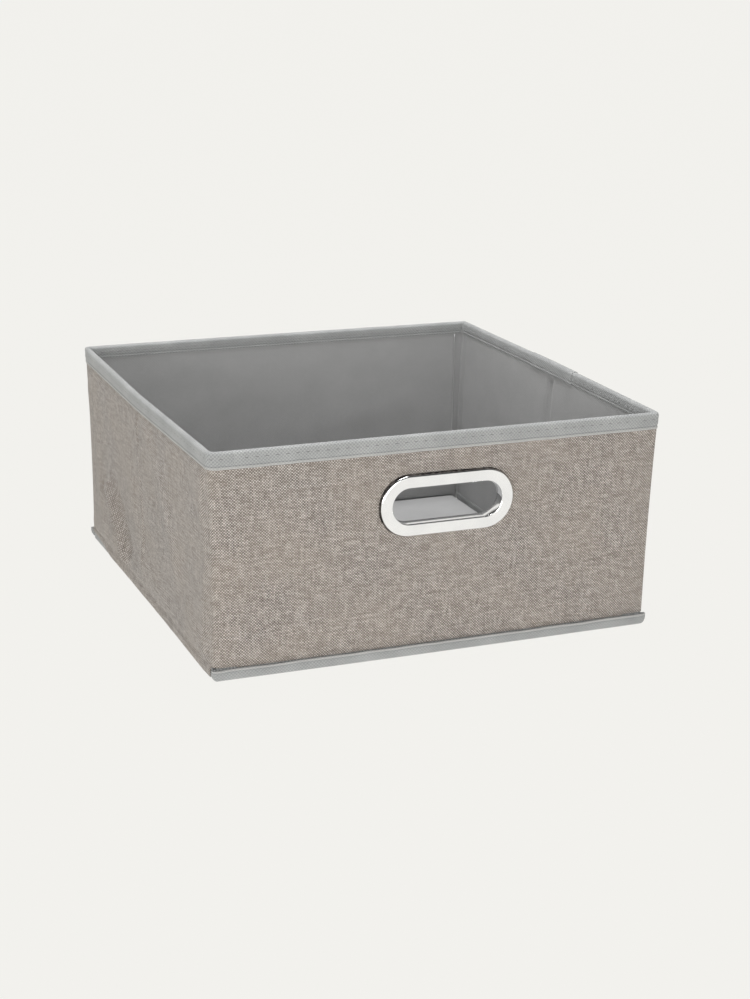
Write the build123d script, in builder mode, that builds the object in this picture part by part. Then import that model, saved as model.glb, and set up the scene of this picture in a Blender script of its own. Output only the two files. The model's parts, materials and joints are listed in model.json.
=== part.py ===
from build123d import *
import os
from collections import namedtuple

# Half-height fabric storage bin for a cube shelf: six fabric-covered wall panels that fold flat round
# four vertical corners and two side creases, a stiff base panel that lifts on its front edge, bound edges
# and a metal-rimmed hand slot in the front wall.
#
# Millimetres, +Z up, origin at the centre of the underside. The front wall, with the hand slot, faces -Y.

# Overall size
outer_width = 310.0  # over the side walls, along X
outer_height = 150.0  # from the underside to the top of the rim
front_proud = 2.45  # how far the bottom binding and the metal ring stand out of the front binding face

# Layers of a wall, from the outside inwards
thread_proud = 0.25
tape_thickness = 0.6
cover_thickness = 0.7
board_thickness = 2.0
lining_thickness = 0.5

# Heights
wall_bottom = 8.0
lip_top = 7.7
rim_outside_drop = 11.5  # how far the rim tape comes down outside
rim_inside_drop = 9.0
rim_rounding = 1.6
allowance_drop = 0.2  # from the top of a bottom seam's tape to the seam allowance in it

# Gaps between panels
corner_gap = 0.3  # between the end of a side panel and the front or back wall
crease_gap = 0.3  # from the crease line to the end of each side panel
board_inset = 2.0  # how far a stiffener stops short of the fabric's lower edge and of the bin's outer corners
board_corner_end = 141.5  # where a side stiffener stops, to leave the corner soft enough to fold
board_crease_end = 6.0  # where it starts, to leave the crease soft
board_rounding = 3.0

# Stitching
stitch_drop = 4.6  # below the top of the rim
stitch_pitch = 6.5
stitch_length = 3.8
stitch_width = 0.5
stitch_rounding = 0.24  # at the ends of a stitch

# Hand slot
slot_middle = (2.5, 103.5)  # across the front and up
slot_opening = (75.0, 24.0)
ring_face = 8.0  # width of the metal face round the opening
collar_thickness = 0.8
collar_clearance = 0.2
back_ring_face = 6.0
back_ring_thickness = 1.3
ring_edge = 1.1  # chamfer of the front ring's outer edge
ring_lip = 0.5  # chamfer of its inner edge

# Bottom
bottom_thickness = 0.6
lip_inward = 4.8  # thickness of the bound seam at the front and back
side_lip_inward = 3.6
lip_end_inset = 1.0
lip_rounding = 1.2
base_half = 147.5
base_bottom = 0.9
base_board_thickness = 3.0
base_skin = 0.5
base_corner = 4.0

# Overlap where the two ends of the rim tape meet, on the right wall
overlap_rear = 31.5  # end of the overlap behind the crease
overlap_front = 34.3  # end of the overlap in front of it
overlap_thickness = 0.4

# Closing seam inside the back right corner
seam_tape_width = 6.0
seam_tape_inset = 1.5
seam_tape_gap = 0.5  # above the fabric's lower edge and below the rim tape

near = 0.01  # how close an edge or a corner has to be to count as being at a height

binding_face = outer_width / 2 - thread_proud
cover_face = binding_face - tape_thickness
board_face = cover_face - cover_thickness
lining_face = board_face - board_thickness
lining_inside = lining_face - lining_thickness
wall_inside = lining_inside - tape_thickness
wall_thickness = binding_face - wall_inside
side_end = wall_inside - corner_gap

Wall = namedtuple("Wall", "name plane low high board_low board_high")


def wall_plane(across, outward):
    """The plane of a wall's outermost binding face: x along the wall, y up, z outward."""
    origin = Vector(*outward) * binding_face
    return Plane(origin=origin, x_dir=across, z_dir=outward)


front_plane = wall_plane((1, 0, 0), (0, -1, 0))
back_plane = wall_plane((-1, 0, 0), (0, 1, 0))
left_plane = wall_plane((0, -1, 0), (-1, 0, 0))
right_plane = wall_plane((0, 1, 0), (1, 0, 0))


def whole_wall(name, plane):
    """A wall in one panel, across the front or the back."""
    board_end = binding_face - board_inset
    return Wall(name, plane, -binding_face, binding_face, -board_end, board_end)


def half_wall(name, plane, side):
    """Half of a side wall, from the crease to the corner, on the plus or minus side of the crease."""
    ends = sorted((side * crease_gap, side * side_end))
    board_ends = sorted((side * board_crease_end, side * board_corner_end))
    return Wall(name, plane, *ends, *board_ends)


front_wall = whole_wall("front", front_plane)
back_wall = whole_wall("back", back_plane)
left_front_wall = half_wall("left_front", left_plane, 1)
left_rear_wall = half_wall("left_rear", left_plane, -1)
right_front_wall = half_wall("right_front", right_plane, -1)
right_rear_wall = half_wall("right_rear", right_plane, 1)
walls = [front_wall, back_wall, left_front_wall, left_rear_wall, right_front_wall, right_rear_wall]


def save(piece, name):
    """Labels a finished piece and writes it."""
    piece.part.label = name
    export_step(piece.part, f"parts/{name}.step")


def section_plane(wall, start):
    """A plane across a wall at start along it: x inwards from the binding face, y up."""
    origin = wall.plane.from_local_coords(Vector(start, 0, 0))
    return Plane(origin=origin, x_dir=-wall.plane.z_dir, z_dir=wall.plane.x_dir)


def panel(wall, outside, thickness, start, end, bottom, rounding=0.0):
    """One flat layer of a wall, outside mm from the bin's centre, with the hand slot in the front wall."""
    top = outer_height - rim_rounding
    with BuildPart() as layer:
        with BuildSketch(wall.plane.offset(outside - binding_face)):
            with Locations(((start + end) / 2, (bottom + top) / 2)):
                if rounding:
                    RectangleRounded(end - start, top - bottom, rounding)
                else:
                    Rectangle(end - start, top - bottom)
            if wall is front_wall:
                grow = 2 * (collar_thickness + collar_clearance)
                with Locations(slot_middle):
                    SlotOverall(slot_opening[0] + grow, slot_opening[1] + grow, mode=Mode.SUBTRACT)
        extrude(amount=-thickness)
    return layer


def rim_tape(wall):
    """The tape folded over the top edge of a wall, as an upside-down U."""
    tall = outer_height
    inner_rounding = rim_rounding - tape_thickness
    far = wall_thickness
    tape = tape_thickness
    with BuildPart() as binding:
        with BuildSketch(section_plane(wall, wall.low)):
            with BuildLine():
                Polyline(
                    (0, tall - rim_outside_drop),
                    (0, tall),
                    (far, tall),
                    (far, tall - rim_inside_drop),
                    (far - tape, tall - rim_inside_drop),
                    (far - tape, tall - tape),
                    (tape, tall - tape),
                    (tape, tall - rim_outside_drop),
                    close=True,
                )
            make_face()
            crown = vertices().filter_by_position(Axis.Y, tall - near, tall + near)
            fillet(crown, rim_rounding)
            inside = vertices().filter_by_position(Axis.Y, tall - tape - near, tall - tape + near)
            fillet(inside, inner_rounding)
        extrude(amount=wall.high - wall.low)
    return binding


def rim_stitches(wall):
    """The row of stitches that holds the rim tape, outside and inside."""
    count = int((wall.high - wall.low - stitch_length) / stitch_pitch)
    middle = ((wall.low + wall.high) / 2, outer_height - stitch_drop)
    with BuildPart() as thread:
        with BuildSketch(wall.plane):
            with Locations(middle):
                with GridLocations(stitch_pitch, 1, count, 1):
                    RectangleRounded(stitch_length, stitch_width, stitch_rounding)
        extrude(amount=thread_proud)
        with BuildSketch(wall.plane.offset(-wall_thickness)):
            with Locations(middle):
                with GridLocations(stitch_pitch, 1, count, 1):
                    RectangleRounded(stitch_length, stitch_width, stitch_rounding)
        extrude(amount=-thread_proud)
    return thread


def lip(wall, low, high, proud, inward):
    """The bound seam under a wall: a U of tape that opens upwards, and the seam allowance in it."""
    tape = tape_thickness
    with BuildPart() as binding:
        with BuildSketch(section_plane(wall, low)):
            with BuildLine():
                Polyline(
                    (-proud, lip_top),
                    (-proud, 0),
                    (inward - proud, 0),
                    (inward - proud, lip_top),
                    (inward - proud - tape, lip_top),
                    (inward - proud - tape, tape),
                    (tape - proud, tape),
                    (tape - proud, lip_top),
                    close=True,
                )
            make_face()
            fillet(vertices().filter_by_position(Axis.Y, -near, near), lip_rounding)
        extrude(amount=high - low)
    with BuildPart() as allowance:
        with BuildSketch(section_plane(wall, low)):
            with Locations((inward / 2 - proud, (lip_top + tape) / 2)):
                Rectangle(inward - 2 * tape, lip_top - tape - allowance_drop)
        extrude(amount=high - low)
    return binding, allowance


def bar(low, high):
    """A rectangular block between two corners."""
    with BuildPart() as block:
        with BuildSketch(Plane.XY.offset(low[2])):
            with Locations(((low[0] + high[0]) / 2, (low[1] + high[1]) / 2)):
                Rectangle(high[0] - low[0], high[1] - low[1])
        extrude(amount=high[2] - low[2])
    return block


os.makedirs("parts", exist_ok=True)

# Wall panels
for wall in walls:
    cover = panel(wall, cover_face, cover_thickness, wall.low, wall.high, wall_bottom)
    save(cover, f"{wall.name}_cover")
    board_bottom = wall_bottom + board_inset
    board = panel(
        wall, board_face, board_thickness, wall.board_low, wall.board_high, board_bottom, board_rounding
    )
    save(board, f"{wall.name}_board")
    lining = panel(wall, lining_face, lining_thickness, wall.low, wall.high, wall_bottom)
    save(lining, f"{wall.name}_lining")
    save(rim_tape(wall), f"{wall.name}_rim_tape")
    save(rim_stitches(wall), f"{wall.name}_rim_stitches")

# The doubled stretch where the ends of the rim tape overlap, inside the right wall
for name, start, end in (("front", -overlap_front, -crease_gap), ("rear", crease_gap, overlap_rear)):
    inner = wall_inside - overlap_thickness
    bottom = outer_height - rim_inside_drop
    overlap = bar((inner, start, bottom), (wall_inside, end, outer_height - stitch_drop - stitch_width))
    save(overlap, f"right_{name}_tape_overlap")

# Metal ring round the hand slot, with a collar through the wall, and its washer inside
ring_outer = [size + 2 * ring_face for size in slot_opening]
collar_outer = [size + 2 * collar_thickness for size in slot_opening]
collar_end = wall_inside - back_ring_thickness + tape_thickness


def at_opening(edge):
    """Whether an edge of the ring's face runs round its opening rather than round its outside."""
    half = slot_opening[1] / 2 + near
    box = edge.bounding_box()
    return box.min.Z >= slot_middle[1] - half and box.max.Z <= slot_middle[1] + half


with BuildPart() as ring:
    with BuildSketch(front_plane.offset(front_proud)):
        with Locations(slot_middle):
            SlotOverall(*ring_outer)
    extrude(amount=cover_face - binding_face - front_proud)
    rim_edges = ring.edges().group_by(Axis.Y)[0]
    chamfer(rim_edges, ring_edge)
    with BuildSketch(front_plane.offset(cover_face - binding_face)):
        with Locations(slot_middle):
            SlotOverall(*collar_outer)
    extrude(amount=collar_end - cover_face)
    with BuildSketch(front_plane.offset(front_proud)):
        with Locations(slot_middle):
            SlotOverall(*slot_opening)
    extrude(amount=collar_end - binding_face - front_proud, mode=Mode.SUBTRACT)
    mouth = ring.edges().group_by(Axis.Y)[0]
    chamfer([edge for edge in mouth if at_opening(edge)], ring_lip)
save(ring, "handle_ring")

back_ring_outer = [size + 2 * (collar_thickness + back_ring_face) for size in slot_opening]
back_ring_inner = [size + collar_clearance for size in collar_outer]
with BuildPart() as back_ring:
    with BuildSketch(front_plane.offset(lining_inside - binding_face)):
        with Locations(slot_middle):
            SlotOverall(*back_ring_outer)
            SlotOverall(*back_ring_inner, mode=Mode.SUBTRACT)
    extrude(amount=-back_ring_thickness)
save(back_ring, "handle_back_ring")

# Bound seams round the bottom edge, with the seam allowance inside them
front_lip_end = binding_face - lip_end_inset
side_lip_end = binding_face + front_proud - lip_inward - corner_gap
lips = [
    ("front", front_wall, front_lip_end, front_proud, lip_inward),
    ("back", back_wall, front_lip_end, front_proud, lip_inward),
    ("left", left_front_wall, side_lip_end, thread_proud, side_lip_inward),
    ("right", right_front_wall, side_lip_end, thread_proud, side_lip_inward),
]
for name, wall, end, proud, inward in lips:
    binding, allowance = lip(wall, -end, end, proud, inward)
    save(binding, f"{name}_bottom_tape")
    save(allowance, f"{name}_seam_allowance")

with BuildPart() as bottom_cover:
    with BuildSketch(Plane.XY):
        across = binding_face + thread_proud - side_lip_inward
        along = binding_face + front_proud - lip_inward
        Rectangle(2 * across, 2 * along)
    extrude(amount=bottom_thickness)
save(bottom_cover, "bottom_cover")

# Base panel: a board between two skins, bound round its edge
base_top = base_bottom + 2 * base_skin + base_board_thickness
base_inner = base_half - tape_thickness


def base_layer(bottom, thickness, half, corner, hole=0.0):
    """One square layer of the base panel."""
    with BuildPart() as layer:
        with BuildSketch(Plane.XY.offset(bottom)):
            RectangleRounded(2 * half, 2 * half, corner)
            if hole:
                RectangleRounded(2 * hole, 2 * hole, corner - tape_thickness, mode=Mode.SUBTRACT)
        extrude(amount=thickness)
    return layer


inner_corner = base_corner - tape_thickness
save(base_layer(base_bottom, base_skin, base_inner, inner_corner), "base_bottom_skin")
save(base_layer(base_bottom + base_skin, base_board_thickness, base_inner, inner_corner), "base_board")
save(base_layer(base_top - base_skin, base_skin, base_inner, inner_corner), "base_top_skin")
save(base_layer(base_bottom, base_top - base_bottom, base_half, base_corner, base_inner), "base_edge_tape")

# Seam tape inside the back right corner, where the ends of the fabric strip meet
seam_high_x = wall_inside - seam_tape_inset
seam_low = (seam_high_x - seam_tape_width, wall_inside, wall_bottom + seam_tape_gap)
seam_high = (seam_high_x, lining_inside, outer_height - rim_inside_drop - seam_tape_gap)
save(bar(seam_low, seam_high), "corner_seam_tape")
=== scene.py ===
"""Looks of the fabric storage bin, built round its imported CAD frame.

Sizes in this script are in millimetres, and put() turns them into Blender's metres. The four walls are one
strip: a place on it is s along the strip, depth inwards from the rim tape's outer face, and height z.
"""

import json
import math

import bpy
import numpy as np
from mathutils import Matrix, Vector, noise


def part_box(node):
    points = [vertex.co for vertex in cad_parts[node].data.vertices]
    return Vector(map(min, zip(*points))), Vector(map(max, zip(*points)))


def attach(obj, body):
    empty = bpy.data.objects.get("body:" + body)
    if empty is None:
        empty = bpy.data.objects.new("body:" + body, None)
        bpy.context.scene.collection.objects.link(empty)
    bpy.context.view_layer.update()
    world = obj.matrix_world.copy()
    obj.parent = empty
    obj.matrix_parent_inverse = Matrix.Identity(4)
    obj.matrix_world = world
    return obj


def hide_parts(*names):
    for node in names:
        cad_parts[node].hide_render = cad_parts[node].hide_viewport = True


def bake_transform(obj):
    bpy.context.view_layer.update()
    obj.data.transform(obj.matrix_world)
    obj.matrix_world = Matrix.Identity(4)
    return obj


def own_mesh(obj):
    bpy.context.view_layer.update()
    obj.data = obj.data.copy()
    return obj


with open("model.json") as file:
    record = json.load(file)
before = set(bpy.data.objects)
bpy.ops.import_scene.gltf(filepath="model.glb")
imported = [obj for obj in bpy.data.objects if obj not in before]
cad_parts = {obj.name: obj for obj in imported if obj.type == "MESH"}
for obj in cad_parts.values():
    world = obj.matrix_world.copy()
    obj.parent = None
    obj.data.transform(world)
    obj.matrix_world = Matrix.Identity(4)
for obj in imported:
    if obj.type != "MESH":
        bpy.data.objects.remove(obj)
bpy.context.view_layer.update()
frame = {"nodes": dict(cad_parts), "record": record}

MM = 0.001


def node_box(node):
    """Lowest and highest corner of a CAD node, in millimetres."""
    low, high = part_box(node)
    return np.array(low) / MM, np.array(high) / MM


# --- Sizes read from the frame -------------------------------------------------------------------
tape_low, tape_high = node_box("front_rim_tape")
HALF = tape_high[0]  # from the centre to the rim tape's outer face
HEIGHT = tape_high[2]
TAPE_OUTSIDE = tape_low[2]  # lower edge of the rim tape outside
WALL = tape_high[1] - tape_low[1]
cover_low, cover_high = node_box("front_cover")
board_low, board_high = node_box("front_board")
lining_low, lining_high = node_box("front_lining")
COVER_DEPTH = cover_low[1] + HALF  # from the tape's outer face in to the cover's
BOARD_DEPTH = board_low[1] + HALF
LINING_DEPTH = lining_low[1] + HALF
COVER_THICK = cover_high[1] - cover_low[1]
BOARD_THICK = board_high[1] - board_low[1]
LINING_THICK = lining_high[1] - lining_low[1]
WALL_BOTTOM = cover_low[2]
FABRIC_TOP = cover_high[2]
LIP_TOP = node_box("front_bottom_tape")[1][2]
STITCH_LINE = HEIGHT - 4.6  # height of the row of stitches through the rim tape
ring_low, ring_high = node_box("handle_ring")
RING_MIDDLE = (ring_low + ring_high) / 2
RING_SIZE = ring_high - ring_low

# --- The strip's plan ----------------------------------------------------------------------------
CORNER_RADIUS = 7.5
STRAIGHT = HALF - CORNER_RADIUS
REACH = STRAIGHT + CORNER_RADIUS * math.pi / 4  # from the middle of a wall to the middle of a corner
SIDE = 2 * REACH
FRONT, RIGHT, BACK, LEFT = range(4)
OUTWARD = np.array([(0, -1), (1, 0), (0, 1), (-1, 0)], float)
ALONG = np.array([(1, 0), (0, 1), (-1, 0), (0, -1)], float)

RIM_BOW = {LEFT: 4.2, RIGHT: 3.9}  # how far the side walls lean out at the crease, at the rim
FOOT_BOW = {LEFT: 0.5, RIGHT: 0.0}  # and how far in at the bottom
SHARP = (0.6, 0.75, 0.6, 0.12)  # how square the corner after each wall is, from 0 for an arc to 1
FLARE_TOP = (3.4, 0.6)  # how far the walls stand out at the rim, across and along
FLARE_FOOT = (1.0, -1.4)  # and at the bottom
CREASE_SINK = 1.85  # how far a side wall's lining goes in between its two boards


def smooth(x, low, high):
    """0 below low, 1 above high, with a smooth step between."""
    t = np.clip((x - low) / (high - low), 0, 1)
    return t * t * (3 - 2 * t)


def bump(x, middle, width):
    """A smooth hump of height 1 at middle."""
    return np.exp(-(((x - middle) / width) ** 2))


def fold(u, z, start, end, width):
    """A soft crease that runs from start to end on a wall, 1 on its line and fading at both ends."""
    a, b = np.array(start, float), np.array(end, float)
    line = b - a
    length = np.hypot(*line)
    along = ((u - a[0]) * line[0] + (z - a[1]) * line[1]) / length
    across = ((u - a[0]) * line[1] - (z - a[1]) * line[0]) / length
    ends = smooth(along, -width, width) * (1 - smooth(along, length - width, length + width))
    return np.exp(-((across / width) ** 2)) * ends


def lean(wall, u, z):
    """How far a wall stands out of its plane, which all of its layers share."""
    up = np.clip((z - WALL_BOTTOM) / (HEIGHT - WALL_BOTTOM), 0, 1)
    across = 1 - np.sqrt((u / REACH) ** 2 + 0.0006)
    across = np.clip(0.6 * across + 0.4 * (1 - (u / REACH) ** 2), 0, None)
    if wall in RIM_BOW:
        out = across * (RIM_BOW[wall] * up**1.3 - FOOT_BOW[wall] * (1 - up) ** 1.4)
    elif wall == FRONT:
        out = 0.7 * across * (1 - up) - 0.5 * bump(u, 95, 45) * bump(z, 45, 30)
    else:
        out = 0.8 * across * up
    return out


# Each wrinkle of a wall: its height (a valley is negative), both ends on the wall, and its width
COVER_FOLDS = {
    LEFT: [
        (5.2, (86, 64), (44, 16), 4.8),
        (-2.6, (74, 72), (32, 24), 6),
        (-1.6, (104, 66), (60, 12), 6),
        (2.2, (-18, 134), (-48, 108), 8),
        (2.0, (-50, 112), (-86, 48), 11),
        (2.2, (122, 92), (104, 20), 9),
        (1.4, (-96, 34), (-142, 14), 8),
        (1.6, (34, 104), (14, 40), 12),
        (1.4, (8, 30), (-60, 16), 9),
    ],
    RIGHT: [(1.0, (-90, 100), (-50, 30), 9), (0.8, (60, 120), (100, 60), 9)],
    FRONT: [(0.7, (60, 14), (150, 40), 9), (0.4, (-140, 18), (-40, 10), 8), (0.5, (128, 60), (150, 100), 9)],
    BACK: [(0.6, (-120, 20), (-40, 34), 10), (0.5, (40, 110), (130, 130), 12)],
}
LINING_FOLDS = {
    RIGHT: [
        (1.2, (-130, 128), (-85, 105), 7),
        (1.0, (-135, 110), (-100, 75), 6),
        (0.8, (-60, 60), (-20, 20), 9),
    ],
    LEFT: [(0.9, (-100, 90), (-60, 40), 9)],
}
PLAIN_LINING = [(0.6, (-110, 90), (-20, 70), 12), (0.5, (60, 110), (120, 40), 11)]


def folds(u, z, table):
    """The sum of a table of wrinkles."""
    return sum(height * fold(u, z, start, end, width) for height, start, end, width in table)


def cover_relief(wall, u, z):
    """How far the outer fabric stands off its board, in wrinkles; never below zero on the left wall."""
    along = -u if wall == LEFT else u
    relief = folds(along, z, COVER_FOLDS[wall])
    if wall == LEFT:
        relief = relief + bump(u, 0, 3.0) * smooth(z, 8, 40) + 2.0
        relief += 1.5 * rumple(u, z, 36.0, 12.3) + 0.5 * rumple(u, z, 14.0, 2.9)
        relief = np.clip(relief, 0, None)
    elif wall == RIGHT:
        relief = relief + 0.9 * bump(u, 0, 3.0) + 0.8 + 0.8 * rumple(u, z, 40.0, 4.9)
    elif wall == FRONT:
        relief = relief + 0.5 + 0.5 * rumple(u, z, 45.0, 9.1) + 0.15 * rumple(u, z, 14.0, 3.2)
    else:
        relief = relief + 0.6 + 0.6 * rumple(u, z, 45.0, 1.7)
    return relief


def lining_relief(wall, u, z):
    """How far the lining stands in from its board."""
    return folds(u, z, LINING_FOLDS.get(wall, PLAIN_LINING))


def crease_sink(s):
    """How far the lining sinks between the two stiffeners of a side wall, at the crease."""
    wall, u = wall_of(np.asarray(s, float))
    return CREASE_SINK * (1 - smooth(np.abs(u), 2.0, 5.8)) * (wall % 2)


def rumple(s, z, scale, seed):
    """Slow seeded noise over the strip, from -1 to 1."""
    flat_s, flat_z = np.broadcast_arrays(np.asarray(s, float), np.asarray(z, float))
    values = [
        noise.noise(Vector((a / scale, b / scale, seed))) for a, b in zip(flat_s.ravel(), flat_z.ravel())
    ]
    return np.array(values).reshape(flat_s.shape)


def flare(z):
    """How much wider than the CAD the bin is at height z, across and along."""
    up = np.clip(z / HEIGHT, 0, 1)[..., None]
    return 1 + (np.array(FLARE_TOP) * up**2 + np.array(FLARE_FOOT) * (1 - up) ** 2) / HALF


def place(s, depth, z, shift=0.0):
    """Points of the strip, in millimetres: s along it, depth in from the tape's face, z up."""
    s, depth, z, shift = np.broadcast_arrays(*np.atleast_1d(s, depth, z, shift))
    wall = np.round(s / SIDE).astype(int)
    u = s - wall * SIDE
    wall = wall % 4
    turn = np.sign(u) * np.clip(np.abs(u) - STRAIGHT, 0, None) / CORNER_RADIUS
    flat = np.clip(u, -STRAIGHT, STRAIGHT)
    out, along = OUTWARD[wall], ALONG[wall]
    normal = out * np.cos(turn)[..., None] + along * np.sin(turn)[..., None]
    point = out * STRAIGHT + along * flat[..., None] + normal * CORNER_RADIUS
    corner = np.where(u > 0, wall, (wall + 3) % 4)
    square = CORNER_RADIUS * (1 / np.cos(np.abs(turn)) - 1) * np.array(SHARP)[corner]
    stand = square
    for side in range(4):
        here = wall == side
        stand[here] += lean(side, u[here], z[here])
    wider = flare(z) - 1
    wider[..., 0] *= 1 - 0.55 * (wall % 2) * (1 - (u / REACH) ** 2)
    point = (point + normal * (stand + shift - depth)[..., None]) * (1 + wider)
    return np.concatenate([point, z[..., None]], axis=-1)


# --- Meshes --------------------------------------------------------------------------------------
def put(name, points, faces, strip=None, smooth_faces=True):
    """A mesh object from points in millimetres, with each point's place on the strip as an attribute."""
    mesh = bpy.data.meshes.new(name)
    mesh.from_pydata((np.asarray(points).reshape(-1, 3) * MM).tolist(), [], faces)
    if strip is not None:
        layer = mesh.attributes.new("strip", "FLOAT_VECTOR", "POINT")
        layer.data.foreach_set("vector", (np.asarray(strip).reshape(-1, 3) * MM).astype(np.float32).ravel())
    mesh.polygons.foreach_set("use_smooth", [smooth_faces] * len(mesh.polygons))
    mesh.update()
    piece = bpy.data.objects.new(name, mesh)
    bpy.context.scene.collection.objects.link(piece)
    return piece


def sharpen(piece, angle):
    """Keeps the edges where two faces meet at more than angle degrees crisp."""
    mesh = piece.data
    normals = [face.normal.copy() for face in mesh.polygons]
    faces_of = {}
    for face in mesh.polygons:
        for key in face.edge_keys:
            faces_of.setdefault(key, []).append(face.index)
    for edge in mesh.edges:
        pair = faces_of.get(tuple(sorted(edge.vertices)), [])
        if len(pair) == 2 and normals[pair[0]].length and normals[pair[1]].length:
            edge.use_edge_sharp = normals[pair[0]].angle(normals[pair[1]]) > math.radians(angle)


def grid_faces(rows, columns, start=0, flip=False):
    """Quads over a grid of points stored row by row."""
    faces = []
    for r in range(rows - 1):
        for c in range(columns - 1):
            a = start + r * columns + c
            quad = (a, a + 1, a + columns + 1, a + columns)
            faces.append(quad[::-1] if flip else quad)
    return faces


def shell(name, outer, inner, outer_strip, inner_strip):
    """A closed thin solid between two grids of points with the same rows and columns."""
    rows, columns = outer.shape[:2]
    count = rows * columns
    faces = grid_faces(rows, columns) + grid_faces(rows, columns, count, flip=True)
    for r in range(rows - 1):
        left, right = r * columns, r * columns + columns - 1
        faces.append((left, left + columns, count + left + columns, count + left))
        faces.append((right + columns, right, count + right, count + right + columns))
    top = (rows - 1) * columns
    for c in range(columns - 1):
        faces.append((c + 1, c, count + c, count + c + 1))
        faces.append((top + c, top + c + 1, count + top + c + 1, count + top + c))
    points = np.concatenate([outer.reshape(-1, 3), inner.reshape(-1, 3)])
    strip = np.concatenate([outer_strip.reshape(-1, 3), inner_strip.reshape(-1, 3)])
    piece = put(name, points, faces, strip)
    sharpen(piece, 50)
    return piece


def stations(start, end, step=3.0, fine=1.2):
    """Places along the strip from start to end, closer together round the corners and the creases."""
    places = [start]
    while places[-1] < end - 0.01:
        s = places[-1]
        u = abs(s - SIDE * round(s / SIDE))
        near_corner = u > STRAIGHT - 2 * step
        near_crease = u < 9 and round(s / SIDE) % 2
        places.append(min(end, s + (fine if near_corner or near_crease else step)))
    if len(places) > 2 and places[-1] - places[-2] < 0.3:
        places.pop(-2)
    return np.array(places)


def wall_of(s):
    """Wall number and place along it for each s."""
    wall = np.round(s / SIDE).astype(int)
    return wall % 4, s - wall * SIDE


def relief_over(s, z, relief):
    """relief() of each wall over the strip."""
    s, z = np.broadcast_arrays(s, z)
    wall, u = wall_of(s)
    total = np.zeros(s.shape)
    for side in range(4):
        here = wall == side
        total[here] = relief(side, u[here], z[here])
    return total


def strip_at(s, z, depth):
    """The attribute's values: along the strip, up, and depth."""
    return np.stack(np.broadcast_arrays(s, z, depth), axis=-1).astype(float)


# Where the strip is cut. Corner stretches run round the corners; the back right corner is the closing
# seam, so there the right wall ends and the back begins.
CORNER_START = 138.0
CORNER_END = 136.0
SEAM = 144.0
SEAM_GAP = 0.15
CUTS = {
    "front": (-CORNER_START, CORNER_START),
    "corner_front_right": (CORNER_START, SIDE - CORNER_END),
    "right": (SIDE - CORNER_END, SIDE + SEAM - SEAM_GAP),
    "back": (SIDE + SEAM + SEAM_GAP, 2 * SIDE + CORNER_START),
    "corner_back_left": (2 * SIDE + CORNER_START, 3 * SIDE - CORNER_END),
    "left": (3 * SIDE - CORNER_END, 3 * SIDE + CORNER_END),
    "corner_front_left": (3 * SIDE + CORNER_END, 4 * SIDE - CORNER_START),
}


def follow(piece, cut):
    """Attaches the front and back stretches to their walls; the other stretches keep their place, with their
    transforms baked in.
    """
    if cut in ("front", "back"):
        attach(piece, cut)
    elif cut == "left":
        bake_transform(piece)
    elif cut == "right":
        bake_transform(piece)
    elif cut == "corner_front_left":
        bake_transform(piece)
    elif cut == "corner_front_right":
        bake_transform(piece)
    else:
        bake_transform(piece)


def stand_for(cut, layer):
    """Has a stretch replace the CAD nodes of its layer; the corner stretches have none."""
    if cut in ("left", "right"):
        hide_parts(f"{cut}_front_{layer}", f"{cut}_rear_{layer}")
    elif cut in ("front", "back"):
        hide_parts(f"{cut}_{layer}")


def travelled(line):
    """The distance along a line up to each of its points."""
    return np.concatenate([[0], np.cumsum(np.hypot(*np.diff(line, axis=0).T))])


def sweep_faces(rings, count, flip=False):
    """Quads of a closed profile of count points, swept through rings places and joined up at the end."""
    faces = []
    for k in range(rings):
        for i in range(count):
            a, b = k * count + i, k * count + (i + 1) % count
            c, d = ((k + 1) % rings) * count + (i + 1) % count, ((k + 1) % rings) * count + i
            faces.append((a, d, c, b) if flip else (a, b, c, d))
    return faces


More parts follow.
